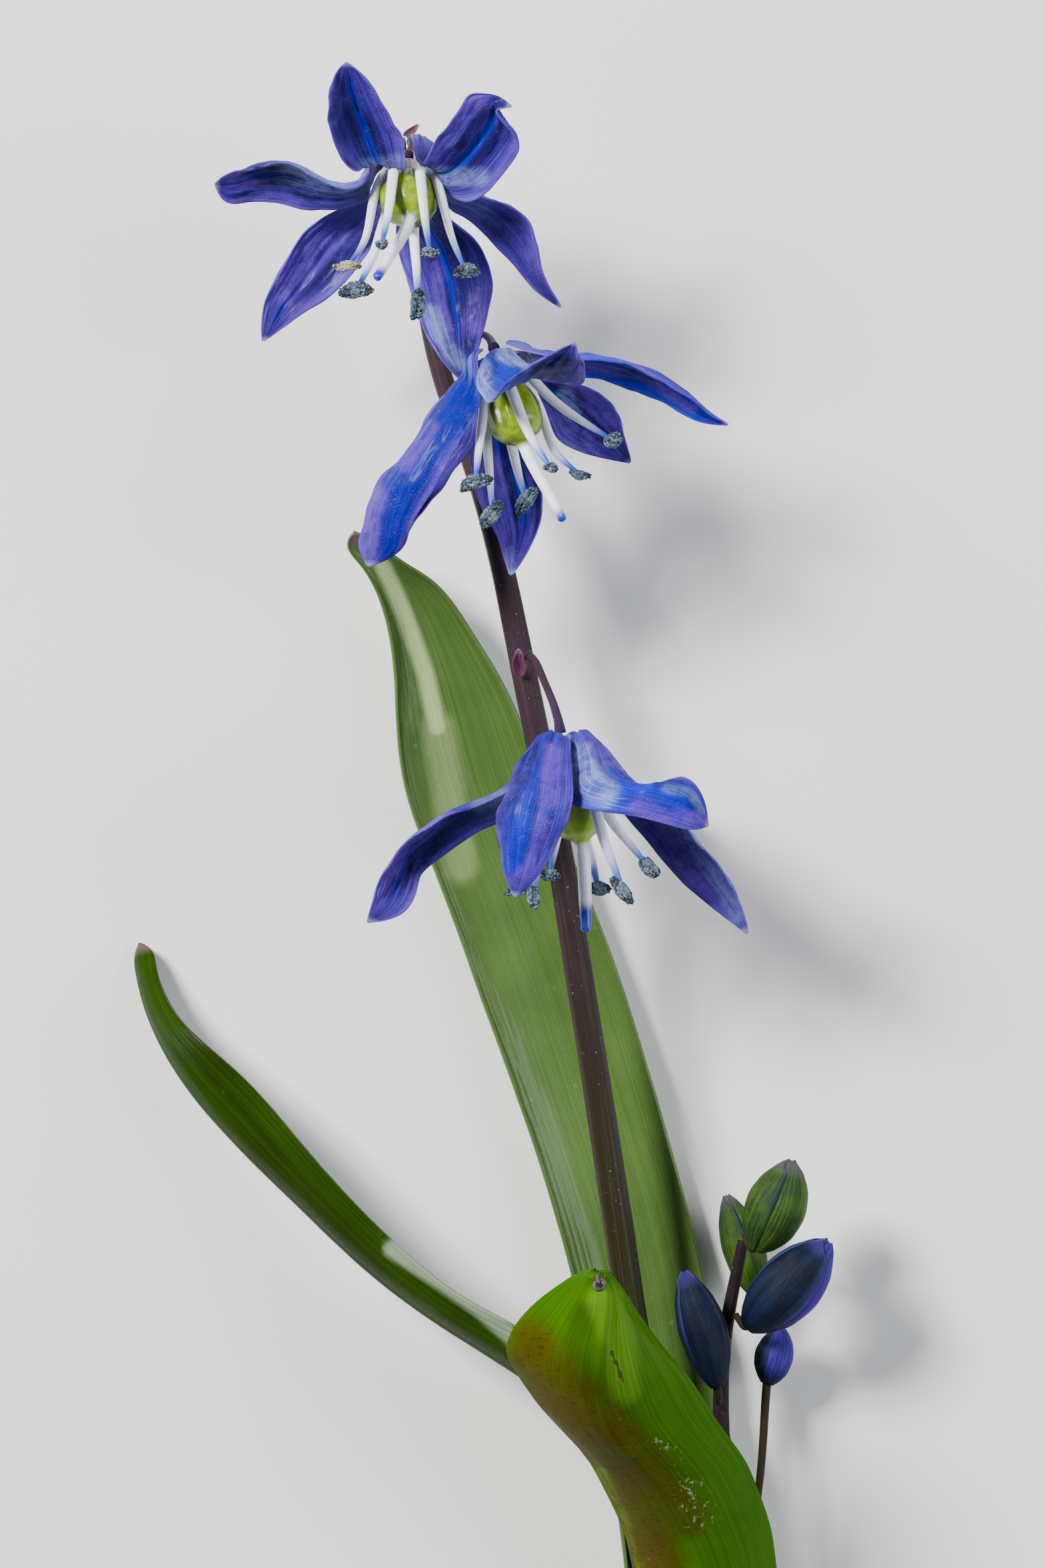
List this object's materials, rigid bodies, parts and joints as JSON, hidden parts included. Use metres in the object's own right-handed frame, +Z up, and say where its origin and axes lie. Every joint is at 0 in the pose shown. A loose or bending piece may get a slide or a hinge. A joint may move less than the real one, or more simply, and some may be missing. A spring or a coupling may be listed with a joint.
{
  "type": "siberian squill",
  "caption": "Picked siberian squill lying on its back: a dark stem with open nodding blue flowers, a young stem in bud and strap-shaped green leaves, cut under the neck.",
  "frame": {"origin": "middle of the bounding box at the surface that the plant lies on", "axes": "+Y from the cut end towards the flower tips, along the stem; +Z up from the surface, through the plant from its back to its front; +X to the right seen from above with the flowers at the top"},
  "size_m": [0.0424, 0.1021, 0.023],
  "materials": {
    "petal": "satin, blue-violet with a deeper blue midrib",
    "leaf": "glossy green, fine lengthwise veins",
    "filament": "white filament, granular slate-blue anther",
    "pistil": "glossy lime-green ovary, white to violet style",
    "stem": "satin purple-brown",
    "bract": "satin pink",
    "bud_green": "satin green",
    "bud_blue": "satin dark blue"
  },
  "bodies": {
    "root": {"bract_lower": "bract", "bract_middle": "bract", "bract_top": "bract", "bud_1": "bud_green", "bud_2": "bud_green", "bud_3": "bud_blue", "bud_4": "bud_blue", "bud_5": "bud_blue", "leaf_front": "leaf", "leaf_left": "leaf", "leaf_rear": "leaf", "pedicel_lower": "stem", "pedicel_middle": "stem", "pedicel_top": "stem", "pistil_lower": "pistil", "pistil_middle": "pistil", "pistil_top": "pistil", "scape": "stem", "scape_young": "stem", "stamen_lower_1": "filament", "stamen_lower_2": "filament", "stamen_lower_3": "filament", "stamen_lower_4": "filament", "stamen_lower_5": "filament", "stamen_lower_6": "filament", "stamen_middle_1": "filament", "stamen_middle_2": "filament", "stamen_middle_3": "filament", "stamen_middle_4": "filament", "stamen_middle_5": "filament", "stamen_middle_6": "filament", "stamen_top_1": "filament", "stamen_top_2": "filament", "stamen_top_3": "filament", "stamen_top_4": "filament", "stamen_top_5": "filament", "stamen_top_6": "filament", "tepal_lower_1": "petal", "tepal_lower_2": "petal", "tepal_lower_3": "petal", "tepal_lower_4": "petal", "tepal_lower_5": "petal", "tepal_lower_6": "petal", "tepal_middle_1": "petal", "tepal_middle_2": "petal", "tepal_middle_3": "petal", "tepal_middle_4": "petal", "tepal_middle_5": "petal", "tepal_middle_6": "petal", "tepal_top_1": "petal", "tepal_top_2": "petal", "tepal_top_3": "petal", "tepal_top_4": "petal", "tepal_top_5": "petal", "tepal_top_6": "petal"}
  },
  "joints": []
}
